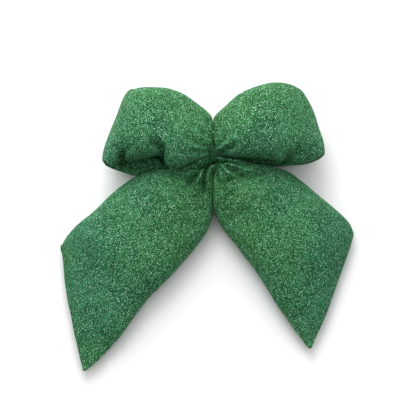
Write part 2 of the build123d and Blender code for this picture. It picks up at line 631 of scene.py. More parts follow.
@dataclass(frozen=True)
class Crease:
    """A fold pressed into a cover along a line in plan.

    Args:
        points: X and Y along the fold.
        depth: How deep it is.
        width: Half its width.
        lip: Share of the depth that the fabric beside it stands up.
        start_depth: Share of the depth where the fold starts.
        full_from: Share of its length by which it is at its deepest.
        fade_power: How late it fades towards its end.
    """

    points: tuple
    depth: float
    width: float
    lip: float = 0.3
    start_depth: float = 0.4
    full_from: float = 0.22
    fade_power: float = 2.5

    def press(self, places: np.ndarray, allowed: np.ndarray) -> np.ndarray:
        """How far the fold moves each vertex.

        Args:
            places: The vertices.
            allowed: Share of the fold that each vertex takes.

        Returns:
            The distances, negative inwards.
        """
        line = np.array(self.points, float) * MM
        nearest = np.full(len(places), np.inf)
        share = np.zeros(len(places))
        lengths = np.linalg.norm(np.diff(line, axis=0), axis=1)
        start = np.concatenate([[0], np.cumsum(lengths)])
        for i, (a, b) in enumerate(zip(line[:-1], line[1:])):
            t = np.clip((places[:, :2] - a) @ (b - a) / ((b - a) @ (b - a)), 0, 1)
            away = np.linalg.norm(places[:, :2] - (a + t[:, None] * (b - a)), axis=1)
            closer = away < nearest
            nearest[closer] = away[closer]
            share[closer] = ((start[i] + t * lengths[i]) / start[-1])[closer]
        rise = self.start_depth + (1 - self.start_depth) * ease(share, 0.0, self.full_from)
        fade = (1 - np.clip(share, 0, 1) ** self.fade_power) * rise
        width = self.width * MM * (0.7 + 0.6 * share)    # the fold widens along its length
        groove = -np.exp(-(nearest / width) ** 2)
        # The fabric that the fold takes in stands up on either side of it
        lips = self.lip * np.exp(-((nearest - 2.1 * width) / (1.2 * width)) ** 2)
        return (groove + lips) * self.depth * MM * fade * allowed


def lumps(places: np.ndarray, size: float, seed: int) -> np.ndarray:
    """A smooth uneven field over the places, between about -1 and 1.

    Args:
        places: Points in metres.
        size: Width of one lump in metres.
        seed: Chooses the pattern.

    Returns:
        One number for each point.
    """
    waves = 7
    draw = np.random.default_rng(seed)
    total = np.zeros(len(places))
    for _ in range(waves):
        direction = draw.normal(size=3)
        direction *= math.pi / size * draw.uniform(0.7, 1.3) / np.linalg.norm(direction)
        total += np.sin(places @ direction + draw.uniform(0, 2 * math.pi))
    return total / math.sqrt(waves)


@dataclass
class Waist:
    """What the covers meet in the middle: gathered sleeves, the band and its sewing."""

    middle_y: float = 0.8
    middle_z: float = 26.5
    half_y: float = 15.5
    half_z: float = 15.8
    width: float = 10.0
    thickness: float = 2.0
    ribs: int = 4
    rib_height: float = 0.7
    pinch_turn: float = 0.15      # radians from the foot to the middle of the pinch
    pinch_spread: float = 0.55
    pinch_depth: float = 0.35     # share of the width that the pinch takes

    def around(self, angle: np.ndarray, inset: float) -> np.ndarray:
        """Points of the band's path, as Y and Z in metres.

        Args:
            angle: Angles round the waist, 0 towards the top.
            inset: How far inside the band's face, in millimetres.

        Returns:
            One row of Y and Z for each angle.
        """
        y = self.middle_y + (self.half_y - inset) * np.cos(angle)
        z = self.middle_z + (self.half_z - inset) * np.sin(angle)
        return np.column_stack([y, z]) * MM

    def band(self, knit: bpy.types.Material) -> bpy.types.Object:
        """The folded strip round the waist, ribbed along its length and pinched at its foot.

        Args:
            knit: The band's material.

        Returns:
            The band.
        """
        steps, across = 192, 28
        angle = np.arange(steps) / steps * 2 * math.pi
        from_pinch = np.angle(-np.exp(1j * (angle + self.pinch_turn)))
        pinch = np.exp(-(from_pinch / self.pinch_spread) ** 2)
        side = np.linspace(-1, 1, across)
        outer_x = np.sign(side) * np.abs(side) ** 0.9
        dome = np.sqrt(np.clip(1 - np.abs(side) ** 5, 0, 1))
        rib = np.cos(side * math.pi * self.ribs) * 0.5 - 0.5
        rings = []
        for a, p in zip(angle, pinch):
            half = self.width / 2 * (1 - self.pinch_depth * p)
            sway = 0.35 * math.sin(3 * a + 1.0) + 0.2 * math.sin(7 * a)
            lift = (dome - 1) * self.thickness * 0.45 + rib * self.rib_height * (0.6 + 0.4 * p)
            outer = self.around(np.full(across, a), 0.05 - lift)
            inner = self.around(np.full(across, a), self.thickness)[::-1]
            x = (outer_x * half + sway) * MM
            rings.append(np.vstack([
                np.column_stack([x, outer]), np.column_stack([x[::-1], inner]),
            ]))
        rings = np.array([*rings, rings[0]])
        mesh = mend(sleeve_mesh("centre_band", rings, False), False)
        return make_object("ribbed_centre_band", mesh, knit)

    def gathers(
        self, name: str, reach: float, centre: tuple, half: tuple, ribs: int,
        knit: bpy.types.Material,
    ) -> bpy.types.Object:
        """A sleeve's gathered middle, a pleated plug along X.

        Args:
            name: The piece's name.
            reach: Half its length.
            centre: Y and Z of its axis.
            half: Half its height along Y and Z.
            ribs: How many pleats it has.
            knit: Its material.

        Returns:
            The gathers.
        """
        steps, around = 21, ribs * 8
        taper, pleat_depth, pleat_twist = 0.12, 0.05, 0.4
        angle = np.arange(around) / around * 2 * math.pi
        rings = []
        for x in np.linspace(-reach, reach, steps):
            tuck = 1 - taper * (x / reach) ** 2
            pleat = 1 + pleat_depth * np.cos(angle * ribs + pleat_twist * x)
            rings.append(np.column_stack([
                np.full(around, x), centre[0] + half[0] * tuck * pleat * np.cos(angle),
                centre[1] + half[1] * tuck * pleat * np.sin(angle),
            ]))
        return make_object(name, mend(sleeve_mesh(name, np.array(rings) * MM, False), True), knit)

    def build(self, knit: bpy.types.Material, thread: bpy.types.Material) -> list:
        """Builds the waist's pieces and ties them to the frame.

        Args:
            knit: The fabric's material.
            thread: The sewing thread's material.

        Returns:
            The pieces.
        """
        reach = 9
        made = [
            (self.band(knit), "centre_band", "glitter_knit"),
            (self.gathers("pleated_loop_waist", reach, (0.8, 29), (12.2, 11), 15, knit),
             "loop_sleeve_waist", "glitter_knit"),
            (self.gathers("pleated_tail_waist", reach, (-5.5, 18), (7.5, 4.2), 11, knit),
             "tail_sleeve_waist", "glitter_knit"),
            (self.binding(thread), "binding_thread", "thread"),
            (self.stitches(thread), "band_stitches", "thread"),
        ]
        for piece, node, finish in made:
            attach(piece, "waist")
            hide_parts(node)
        return [piece for piece, _, _ in made]

    def binding(self, thread: bpy.types.Material) -> bpy.types.Object:
        """Turns of thread round the gathers, under the band.

        Args:
            thread: The thread's material.

        Returns:
            The binding.
        """
        tree = Tree("binding turns", {"Turns": 3.0, "Radius": 0.4 * MM, "Length": 5.6 * MM})
        coil = tree.node("GeometryNodeCurveSpiral", None, {
            "Resolution": 48, "Rotations": tree.given("Turns"), "Height": tree.given("Length"),
            "Start Radius": 1.0, "End Radius": 1.0,
        })
        inset = self.thickness + 0.45
        across = ((self.half_z - inset) * MM, (self.half_y - inset) * MM, 1.0)
        sized = tree.node("GeometryNodeTransform", None, {"Geometry": coil, "Scale": across})
        placed = tree.node("GeometryNodeTransform", None, {
            "Geometry": sized, "Rotation": (0.0, math.pi / 2, 0.0),
            "Translation": (-2.8 * MM, self.middle_y * MM, self.middle_z * MM),
        })
        return tree.finish("binding_thread_turns", tree.tube(placed), thread)

    def stitches(self, thread: bpy.types.Material) -> bpy.types.Object:
        """Stitches that hold the twist tie to the band's back.

        Args:
            thread: The thread's material.

        Returns:
            The stitches.
        """
        low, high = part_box("band_stitches")
        size, middle, radius = high - low, (low + high) / 2, 0.3 * MM
        pitch = (size.x - 2 * radius) / 2
        tree = Tree("back stitches", {"Count": 3, "Radius": radius})
        arch = tree.node(
            "GeometryNodeCurvePrimitiveQuadrilateral", {"mode": "RECTANGLE"},
            {"Width": size.y - 2 * radius, "Height": size.z - 2 * radius},
        )
        rounded = tree.node(
            "GeometryNodeFilletCurve", {"mode": "POLY"},
            {"Curve": arch, "Radius": 0.4 * MM, "Count": 4},
        )
        upright = tree.node(
            "GeometryNodeTransform", None,
            {"Geometry": rounded, "Rotation": (math.pi / 2, 0.0, math.pi / 2)},
        )
        line = tree.node("GeometryNodeMeshLine", None, {
            "Count": tree.given("Count"), "Offset": (pitch, 0.0, 0.0),
            "Start Location": (low.x + radius, middle.y, middle.z),
        })
        row = tree.node(
            "GeometryNodeInstanceOnPoints", None, {"Points": line, "Instance": tree.tube(upright)}
        )
        return tree.finish("back_stitch_row", row, thread)


class Tree:
    """A Geometry Nodes tree with named sizes."""

    def __init__(self, name: str, sizes: dict) -> None:
        """Makes the group and its inputs.

        Args:
            name: The tree's name.
            sizes: Its inputs' names and values.
        """
        self.group = bpy.data.node_groups.new(name, "GeometryNodeTree")
        self.sizes = sizes
        sockets = self.group.interface
        sockets.new_socket("Geometry", in_out="OUTPUT", socket_type="NodeSocketGeometry")
        for key, value in sizes.items():
            kind = "NodeSocketInt" if isinstance(value, int) else "NodeSocketFloat"
            socket = sockets.new_socket(key, in_out="INPUT", socket_type=kind)
            socket.default_value = value
        self.inputs = self.group.nodes.new("NodeGroupInput")

    def given(self, name: str) -> bpy.types.NodeSocket:
        """One of the tree's named sizes."""
        return self.inputs.outputs[name]

    def node(self, kind: str, settings: dict | None = None, inputs: dict | None = None) -> object:
        """Adds a node.

        Args:
            kind: The node's type.
            settings: Its properties.
            inputs: Values or sockets by socket name.

        Returns:
            Its first output.
        """
        made = self.group.nodes.new(kind)
        for key, value in (settings or {}).items():
            setattr(made, key, value)
        for key, value in (inputs or {}).items():
            if isinstance(value, bpy.types.NodeSocket):
                self.group.links.new(value, made.inputs[key])
            else:
                made.inputs[key].default_value = value
        return made.outputs[0] if made.outputs else None

    def tube(self, curve: bpy.types.NodeSocket) -> bpy.types.NodeSocket:
        """Gives a curve a round section of the tree's Radius.

        Args:
            curve: The curve.

        Returns:
            The tube's mesh.
        """
        section = self.node(
            "GeometryNodeCurvePrimitiveCircle", None,
            {"Resolution": 10, "Radius": self.given("Radius")},
        )
        return self.node(
            "GeometryNodeCurveToMesh", None,
            {"Curve": curve, "Profile Curve": section, "Fill Caps": True},
        )

    def finish(
        self, name: str, shape: bpy.types.NodeSocket, material: bpy.types.Material
    ) -> bpy.types.Object:
        """Closes the tree and turns its result into a plain mesh.

        Args:
            name: The piece's name.
            shape: The geometry that the tree gives.
            material: The piece's material.

        Returns:
            The piece, with no modifier left.
        """
        real = self.node("GeometryNodeRealizeInstances", None, {"Geometry": shape})
        dressed = self.node(
            "GeometryNodeSetMaterial", None, {"Geometry": real, "Material": material}
        )
        out = self.group.nodes.new("NodeGroupOutput")
        self.group.links.new(dressed, out.inputs[0])
        piece = make_object(name, bpy.data.meshes.new(name), material)
        modifier = piece.modifiers.new("Build", "NODES")
        modifier.node_group = self.group
        for item in self.group.interface.items_tree:
            if item.in_out == "INPUT":
                modifier[item.identifier] = self.sizes[item.name]
        bpy.context.view_layer.update()
        applied(piece)
        mend(piece.data, False)
        piece.data.shade_smooth()
        return piece


@dataclass(frozen=True)
class Strain:
    """How a cover is blown up as cloth, and how much of that it keeps.

    Args:
        frames: How many frames the cloth runs for.
        pressure: Of the filling on the cover.
        mass: Of one vertex.
        stiffness: Against stretching and pressing together.
        bending: Stiffness against bending.
        quality: Steps for each frame.
        growth: Share by which the fabric may grow.
        cap: Longest movement kept, in millimetres.
        sideways: Share kept of the movement in plan.
        neck: Metres from the hub where the hold starts to fade and where it ends.
        middle: The same, from the plane between the two halves of the bow.
    """

    frames: int = 20
    pressure: float = 4.0
    mass: float = 0.2
    stiffness: float = 10.0
    bending: float = 0.3
    quality: int = 4
    growth: float = 0.03
    cap: float = 2.4
    sideways: float = 0.3
    neck: tuple = (0.014, 0.034)
    middle: tuple = (0.004, 0.013)

    def held(self, places: np.ndarray, hub: np.ndarray) -> np.ndarray:
        """Share by which the waist holds each vertex of a lobe that leaves it at the hub."""
        neck = 1 - ease(np.linalg.norm(places - hub, axis=1), *self.neck)
        return np.maximum(neck, 1 - ease(np.abs(places[:, 0]), *self.middle))

    def settle(self, cloth: bpy.types.ClothModifier) -> None:
        """Sets the cloth up.

        Args:
            cloth: The modifier, whose piece has the vertex group "held".
        """
        settings = cloth.settings
        settings.vertex_group_mass = "held"
        settings.quality = self.quality
        settings.mass = self.mass
        settings.use_pressure = True
        settings.uniform_pressure_force = self.pressure
        settings.tension_stiffness = settings.compression_stiffness = self.stiffness
        settings.bending_stiffness = self.bending
        settings.shrink_min = -self.growth
        settings.effector_weights.gravity = 0.0
        cloth.collision_settings.use_collision = False
        cloth.point_cache.frame_start, cloth.point_cache.frame_end = 1, self.frames


@dataclass
class Lobe:
    """A stuffed sleeve on one side of the waist: its knitted cover and its filling.

    Its stations are given as rows for the right-hand side, whichever side it is on.
    """

    side: Side
    stations: tuple
    creases: tuple
    rings: int = 150
    around: int = 72
    hub: tuple = (0.0, 0.0, 28.0)    # where the gathers start from
    gather: float = 1.1
    gather_count: int = 11
    gather_reach: float = 42.0
    seed: int = 1
    seam_end: bool = False
    kind: str = "lobe"               # what the frame calls it, after its side
    wall: float = 0.8
    slack: float = 0.4               # between the cover and its filling
    sink: float = 0.6                # how much deeper the filling starts, before it is smoothed
    strain: Strain = Strain()
    uneven: tuple = ((0.034, 0.7, 0), (0.015, 0.25, 50))    # lumps: metres wide, mm high, pattern
    neck_clear: float = 17.0         # no filling nearer to the hub
    floor: float = 0.3               # lowest height of the cover
    cover: bpy.types.Object | None = field(default=None, init=False)
    filling: bpy.types.Object | None = field(default=None, init=False)

    def __post_init__(self) -> None:
        """Names the body and the nodes, and puts the stations on the lobe's side."""
        self.body = f"{self.side.name.lower()}_{self.kind}"
        self.cover_node, self.filling_node = f"{self.body}_cover", f"{self.body}_filling"
        self.stations = tuple(Station.on(self.side, *row) for row in self.stations)

    def normal_plan(self) -> np.ndarray:
        """Direction in plan that the outer face turns to at the lobe's end."""
        return np.array([self.side.value, 0.0])

    def shaped(self, rings: np.ndarray, rows: np.ndarray) -> np.ndarray:
        """A chance for a lobe to adjust its rings before they are meshed."""
        return rings

    def ring_points(self) -> np.ndarray:
        """The start shape.

        Returns:
            Points as [ring, point, xyz], in metres.
        """
        rows = smooth_path(np.array([s.row() for s in self.stations], float), self.rings) * MM
        middle, level = rows[:, :2], rows[:, 2]
        low, high = rows[:, 3:5], rows[:, 5:7]
        out, back, crown = rows[:, 7], rows[:, 8], rows[:, 9] / MM
        plan = self.normal_plan()
        rise = np.gradient(level)
        run = np.gradient(middle @ plan)
        size = np.hypot(rise, run)
        tilt_out, tilt_up = -rise / size, run / size
        if self.seam_end:
            tilt_out, tilt_up = np.zeros_like(rise), np.ones_like(rise)
        angle = np.arange(self.around) / self.around * 2 * math.pi
        share = (1 - np.cos(angle)) / 2
        swell = np.abs(np.sin(angle))[None, :] ** crown[:, None]
        front = np.sin(angle) >= 0
        flat = low[:, None] * (1 - share)[None, :, None] + high[:, None] * share[None, :, None]
        offset = np.where(front, out[:, None] * swell, -back[:, None] * swell)
        rings = np.empty((self.rings, self.around, 3))
        rings[..., 0] = flat[..., 0] + offset * (tilt_out * plan[0])[:, None]
        rings[..., 1] = flat[..., 1] + offset * (tilt_out * plan[1])[:, None]
        rings[..., 2] = level[:, None] + offset * tilt_up[:, None]
        return self.shaped(rings, rows)

    def build(self, knit: bpy.types.Material, wadding: bpy.types.Material) -> None:
        """Builds the cover and the filling.

        Args:
            knit: The cover's material.
            wadding: The filling's material.
        """
        mesh = mend(sleeve_mesh(self.cover_node, self.ring_points(), self.seam_end), False)
        self.cover = make_object(self.cover_node.replace("cover", "knit_cover"), mesh, knit)
        self.relax()
        subdivide = self.cover.modifiers.new("Fine", "SUBSURF")
        subdivide.levels = subdivide.render_levels = 1
        applied(self.cover)
        self.detail(wadding)
        wall = self.cover.modifiers.new("Wall", "SOLIDIFY")
        wall.thickness = self.wall * MM
        wall.offset = -1.0
        applied(self.cover)

    def relax(self) -> None:
        """Blows the cover up as cloth from a fixed neck, so that it strains over its filling."""
        mesh = self.cover.data
        places = coordinates(mesh)
        held = self.strain.held(places, np.array(self.hub) * MM)
        held = np.maximum(held, self.sewn(places))
        group = self.cover.vertex_groups.new(name="held")
        for index, weight in enumerate(held):
            group.add([index], float(weight), "REPLACE")
        self.strain.settle(self.cover.modifiers.new("Strain", "CLOTH"))
        scene = bpy.context.scene
        for frame in range(1, self.strain.frames + 1):
            scene.frame_set(frame)
        graph = bpy.context.evaluated_depsgraph_get()
        strained = bpy.data.meshes.new_from_object(self.cover.evaluated_get(graph), depsgraph=graph)
        move = coordinates(strained) - places
        bpy.data.meshes.remove(strained)
        self.cover.modifiers.clear()
        self.cover.vertex_groups.clear()
        scene.frame_set(1)
        length = np.linalg.norm(move, axis=1, keepdims=True)
        move *= np.minimum(1, self.strain.cap * MM / np.maximum(length, 1e-9))
        move[:, :2] *= self.strain.sideways
        facing = normals(mesh)
        outward = np.average((move * facing).sum(axis=1), weights=1 - held)
        put_coordinates(mesh, places + (move - facing * outward) * (1 - held)[:, None])
        LOG.info("%s strained by up to %.1f mm", self.cover.name, length.max() / MM)

    def sewn(self, places: np.ndarray) -> np.ndarray:
        """Share by which each vertex is held by a seam at the lobe's far end."""
        return np.zeros(len(places))

    def detail(self, wadding: bpy.types.Material) -> None:
        """Adds gathers, lumps and creases to the cover, and fills it.

        Args:
            wadding: The filling's material.
        """
        mesh = self.cover.data
        places, facing = coordinates(mesh), normals(mesh)
        move = np.zeros(len(places))
        for width, height, pattern in self.uneven:
            move += lumps(places, width, self.seed + pattern) * height * MM
        move += self.gathers(places)
        shift = facing * move[:, None]
        allowed = ease(facing[:, 2], -0.55, -0.15)    # the back takes no fold
        way = facing + np.array([0, 0, 1.5])
        way /= np.linalg.norm(way, axis=1)[:, None]
        folds = np.zeros_like(shift)
        for crease in self.creases:
            folds += way * crease.press(places, allowed)[:, None]
        draft = mesh.copy()
        folded = places + shift + folds
        folded[:, 2] = np.maximum(folded[:, 2], self.floor * MM)
        put_coordinates(mesh, folded)
        gap = (self.wall + self.slack + self.sink) * MM
        self.fill(draft, folded - facing * gap, wadding)

    def fill(
        self, mesh: bpy.types.Mesh, places: np.ndarray, wadding: bpy.types.Material
    ) -> None:
        """Builds the wadding inside the cover, closed where the sleeve is open.

        Args:
            mesh: A copy of the cover's mesh before its folds.
            places: Where the filling's surface lies.
            wadding: The filling's material.
        """
        rounds, passes = 2, 3
        tuft, tuft_height, pattern = 0.006, 0.1 * MM, 90
        mesh.name = self.filling_node
        fluff = lumps(places, tuft, self.seed + pattern)[:, None] * normals(mesh) * tuft_height
        put_coordinates(mesh, places + fluff)
        shell = bmesh.new()
        shell.from_mesh(mesh)
        for _ in range(rounds):
            for _ in range(passes):
                bmesh.ops.smooth_vert(
                    shell, verts=shell.verts, factor=0.5,
                    use_axis_x=True, use_axis_y=True, use_axis_z=True,
                )
            tight = self.tuck(shell)
        loose = [
            face for face in shell.faces
            if self.beyond(face.calc_center_median()) or any(v in tight for v in face.verts)
        ]
        bmesh.ops.delete(shell, geom=loose, context="FACES")
        shell.to_mesh(mesh)
        shell.free()
        name = self.filling_node.replace("filling", "wadding")
        self.filling = make_object(name, mend(mesh, True), wadding)

    def tuck(self, shell: bmesh.types.BMesh) -> set:
        """Pushes the filling back inside the folded cover.

        Args:
            shell: The filling.

        Returns:
            The vertices that still have no room inside the cover.
        """
        cover = self.cover.data
        tree = BVHTree.FromPolygons(
            [vertex.co.copy() for vertex in cover.vertices],
            [tuple(face.vertices) for face in cover.polygons],
        )
        pushes, past, least = 3, 1.05, 0.4
        gap = (self.wall + self.slack) * MM
        tight = set()
        for vertex in shell.verts:
            for _ in range(pushes):
                nearest, way, _, _ = tree.find_nearest(vertex.co)
                depth = (vertex.co - nearest).dot(way)
                if depth < -gap:
                    break
                vertex.co -= way * (depth + past * gap)
            if depth > -least * gap:
                tight.add(vertex)
        return tight

    def beyond(self, place: Vector) -> bool:
        """Whether the filling stops short of a place."""
        return (place / MM - Vector(self.hub)).length < self.neck_clear

    def gathers(self, places: np.ndarray) -> np.ndarray:
        """Ribs of gathered fabric that fan out from the waist.

        Args:
            places: The cover's vertices.

        Returns:
            How far each vertex stands out.
        """
        core, wander, wander_width, pattern = 0.006, 0.7, 0.05, 7
        away = places - np.array(self.hub) * MM
        distance = np.linalg.norm(away, axis=1)
        angle = np.arctan2(away[:, 1], np.abs(away[:, 0]) + core)
        phase = angle * self.gather_count + wander * lumps(places, wander_width, self.seed + pattern)
        strength = 1 - ease(distance, core, self.gather_reach * MM)
        # Round ribs with narrow valleys, about as much out as in
        return (np.abs(np.sin(phase)) ** 0.7 - 0.65) * 1.6 * strength * self.gather * MM

    def declare(self, start: tuple, end: tuple) -> None:
        """Bakes the pieces' places into their meshes and hides the frame's nodes that they stand
        for.

        Args:
            start: Not used.
            end: Not used.
        """
        for piece, node, finish in (
            (self.cover, self.cover_node, "glitter_knit"),
            (self.filling, self.filling_node, "wadding"),
        ):
            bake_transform(piece)
            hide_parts(node)


@dataclass
class Loop(Lobe):
    """A stuffed loop: the sleeve goes out in front, turns over and comes back behind."""

    kind: str = "loop"
    turn: float = 20.0        # degrees
    free_rings: int = 3       # at either end of the sleeve, inside the band
    soft: float = 1.2         # how gently the puff stops
    band: Waist = field(default_factory=Waist)

    def normal_plan(self) -> np.ndarray:
        """The fold faces outwards and a little towards the top."""
        angle = math.radians(self.turn)
        return np.array([self.side.value * math.cos(angle), math.sin(angle)])

    def shaped(self, rings: np.ndarray, rows: np.ndarray) -> np.ndarray:
        """Stops the puff at the band's side and, over the band, at the other loop.

        Args:
            rings: Points as [ring, point, xyz], in metres.
            rows: The stations that the rings were made from; not used here.

        Returns:
            The same rings, adjusted.
        """
        band = self.band
        room_y, room_z = 0.6, 0.8    # round the band
        y, z = rings[..., 1] / MM - band.middle_y, rings[..., 2] / MM - band.middle_z
        reach = np.hypot(y / (band.half_y + room_y), z / (band.half_z + room_z))
        beside = 1 - ease(reach, 1.0, 1.12)
        # Below the band the two loops part, so that the tails' pleats show between them
        open_foot = 1 - ease(rings[..., 1] / MM, -8, 3)
        nearest = 0.08 + (band.width / 2 - 0.1) * np.maximum(beside, 0.95 * open_foot)
        nearest[:self.free_rings] = nearest[-self.free_rings:] = 0.0
        nearest *= MM
        out = rings[..., 0] * self.side.value
        soft = self.soft * MM
        rings[..., 0] = self.side.value * np.where(
            out > nearest + soft, out,
            nearest + soft * np.exp(np.minimum((out - nearest - soft) / soft, 0)),
        )
        return rings


@dataclass
class Tail(Lobe):
    """A stuffed tail with a slanted, sewn end."""

    around: int = 96
    hub: tuple = (0.0, -12.0, 29.0)
    gather_reach: float = 50.0
    seam_end: bool = True
    kind: str = "tail"
    end_bulge: float = 3.0
    bulge_from: float = 0.72  # share of the length where the end starts to bow
    corner: float = 3.0
    floor: float = 0.6
    seam_clear: float = 6.0   # no filling nearer to the sewn end
    seam_hold: tuple = (0.004, 0.026)    # metres: where the seam's hold starts to fade, and ends

    def beyond(self, place: Vector) -> bool:
        """Whether the filling stops short of a place, at the waist or at the sewn end.

        Args:
            place: The place, in metres.

        Returns:
            True where no filling goes.
        """
        if super().beyond(place):
            return True
        return self.from_seam(np.array([place]))[0] < self.seam_clear * MM

    def from_seam(self, places: np.ndarray) -> np.ndarray:
        """Distance in plan from the line of the sewn end.

        Args:
            places: Points in metres.

        Returns:
            One distance for each.
        """
        end = self.stations[-1]
        low, high = np.array(end.low, float) * MM, np.array(end.high, float) * MM
        along = (high - low) / np.linalg.norm(high - low)
        return np.abs((places[:, :2] - low) @ np.array([along[1], -along[0]]))

    def sewn(self, places: np.ndarray) -> np.ndarray:
        """The sewn end holds the fabric flat, less and less away from it."""
        return 1 - ease(self.from_seam(places), *self.seam_hold)

    def shaped(self, rings: np.ndarray, rows: np.ndarray) -> np.ndarray:
        """Bows the sewn end outwards, rounds its corners and flattens the underside.

        Args:
            rings: Points as [ring, point, xyz], in metres.
            rows: The stations that the rings were made from.

        Returns:
            The same rings, adjusted.
        """
        low, high = rows[:, 3:5], rows[:, 5:7]
        end_line = high[-1] - low[-1]
        outward = np.array([end_line[1], -end_line[0]]) * -self.side.value
        outward /= np.linalg.norm(outward)
        if outward[1] > 0:
            outward = -outward
        angle = np.arange(self.around) / self.around * 2 * math.pi
        share = (1 - np.cos(angle)) / 2
        near_end = ease(np.linspace(0, 1, len(rings)), self.bulge_from, 1.0)[:, None]
        bow = self.end_bulge * MM * 4 * share * (1 - share) * near_end
        rings[..., 0] += bow * outward[0]
        rings[..., 1] += bow * outward[1]
        to_end = np.linalg.norm(rows[-1, :2] - rows[:, :2], axis=1)
        radius = self.corner * MM
        gap = np.clip(radius - to_end, 0, radius)
        inset = radius - np.sqrt(np.maximum(radius ** 2 - gap ** 2, 0))
        width = np.linalg.norm(high - low, axis=1)
        squeeze = 1 - 2 * inset / np.maximum(width, radius)
        centre = rings.mean(axis=1, keepdims=True)[..., :2]
        rings[..., :2] = centre + (rings[..., :2] - centre) * squeeze[:, None, None]
        rings[..., 2] = np.maximum(rings[..., 2], self.floor * MM)
        return rings


# ---------------------------------------------------------------- the bow


def left_loop() -> Loop:
    """The left loop, whose lower edge is buckled in two places.

    Returns:
        The loop, before it is built.
    """
    rows = (
        ((3, -10), (2, 13), 30, 7, 3), ((5.5, -11), (1.5, 19), 30, 7.5, 3),
        ((6.5, -12.5), (2, 28.5), 32.5, 12, 4), ((10, -15), (7, 36.5), 37, 13, 5),
        ((17, -18), (14, 43), 39.5, 15, 6), ((25, -22), (23, 49), 41, 16, 8),
        ((33, -25.5), (30, 53), 42, 17, 9), ((41, -26.5), (37, 56), 42, 17, 9),
        ((46.5, -22), (42, 57.5), 42, 16.5, 8.5), ((50, -13.5), (46, 58.5), 42, 16, 8),
        ((53.5, -12), (49.5, 59), 42, 16.5, 8.5), ((60, -14), (55, 59.5), 42, 17, 9),
        ((70, -16.5), (63, 60), 42, 17, 9), ((82, -18.5), (72, 60.5), 40.5, 15.5, 9),
        ((86.5, -17), (75, 60.5), 39.5, 14.5, 8), ((90, -13), (77, 60.5), 38.5, 13.5, 8),
        ((94.5, -19.5), (79, 61), 37.5, 12.5, 7), ((102, -21.5), (82, 61.5), 34, 9.5, 6, 0.7),
        ((109.5, -14), (85, 61), 28, 5, 3, 0.5), ((106, -17.5), (83, 60.5), 21, 8, 5, 0.7),
        ((94, -21), (76, 59), 16, 11.5, 7), ((79, -25.5), (64, 57), 14, 12, 8),
        ((60, -25.5), (52, 54), 14, 12, 8), ((40, -24), (36, 48), 15, 11.5, 7),
        ((24, -19), (22, 39), 17.5, 9, 5), ((11, -14), (9, 26), 21, 7, 4),
        ((5, -11), (5, 14), 22, 6, 2), ((3, -9), (3, 12), 22, 5, 2),
    )
    creases = (
        Crease(((-91, -17), (-89, -11), (-85, -6)), 4.5, 2.8),
        Crease(((-50, -14), (-50, -8), (-55, -4.5), (-64, -3)), 7, 2.8),
        Crease(((-3.5, 15), (-5, 21), (-9.5, 30)), 2.8, 1.8),
        Crease(((-5, -6), (-16, -4), (-30, 2)), 1.8, 2.4),
        Crease(((-5, -9), (-18, -12), (-32, -15)), 2.2, 2.4),
        Crease(((-4, 3), (-13, 10), (-24, 20)), 1.5, 2.6),
    )
    return Loop(Side.LEFT, rows, creases, seed=3)


def right_loop() -> Loop:
    """The right loop, fuller at the top, with a fold near its lower corner.

    Returns:
        The loop, before it is built.
    """
    rows = (
        ((3, -10), (2, 13), 30, 7, 3), ((5.5, -10.5), (1.5, 19), 30, 7.5, 3),
        ((6.5, -11), (2, 28.5), 32.5, 12, 4), ((10.5, -11.5), (7.5, 36.5), 37, 13, 5),
        ((20, -13), (15, 44), 39.5, 15, 6), ((33, -14.5), (24, 52), 41, 16.5, 8),
        ((48, -16), (36, 59), 42, 17.5, 9), ((60, -18), (47, 63.5), 42, 18, 9.5),
        ((67, -20), (56, 65.5), 42, 17.5, 9.5), ((72, -16.5), (63, 66), 41.5, 16, 9),
        ((79, -19.5), (71, 65.5), 40.5, 15, 9), ((90, -18), (80, 63), 37.5, 13, 8),
        ((101, -14.5), (87.5, 58.5), 34, 10, 6, 0.7), ((110.5, -8), (93, 51), 28, 6, 3, 0.6),
        ((106, -10), (88, 53), 21, 8, 5, 0.7), ((94, -13), (79, 58), 16, 11, 7),
        ((78, -13.5), (66, 60), 14, 12, 8), ((58, -15.5), (50, 57), 14, 12, 8),
        ((38, -17), (32, 49), 15, 11.5, 7), ((22, -15), (20, 39), 17.5, 9, 5),
        ((11, -12), (9, 27), 21, 7, 4), ((5, -11), (5, 14), 22, 6, 2),
        ((3, -9), (3, 12), 22, 5, 2),
    )
    creases = (
        Crease(((3.5, -12), (11, -8.5), (20, -5.5), (27, -2.5)), 5.5, 2.2),
        Crease(((71.5, -22), (76, -16), (82.5, -12), (92, -8.5)), 5, 3.0),
        Crease(((4, -5), (12, 1), (22, 9)), 1.4, 2.6),
        Crease(((4, 5), (8, 14), (14, 27)), 1.4, 2.2),
        Crease(((6, -12), (20, -11), (36, -11)), 1.2, 2.6),
    )
    return Loop(Side.RIGHT, rows, creases, seed=11)


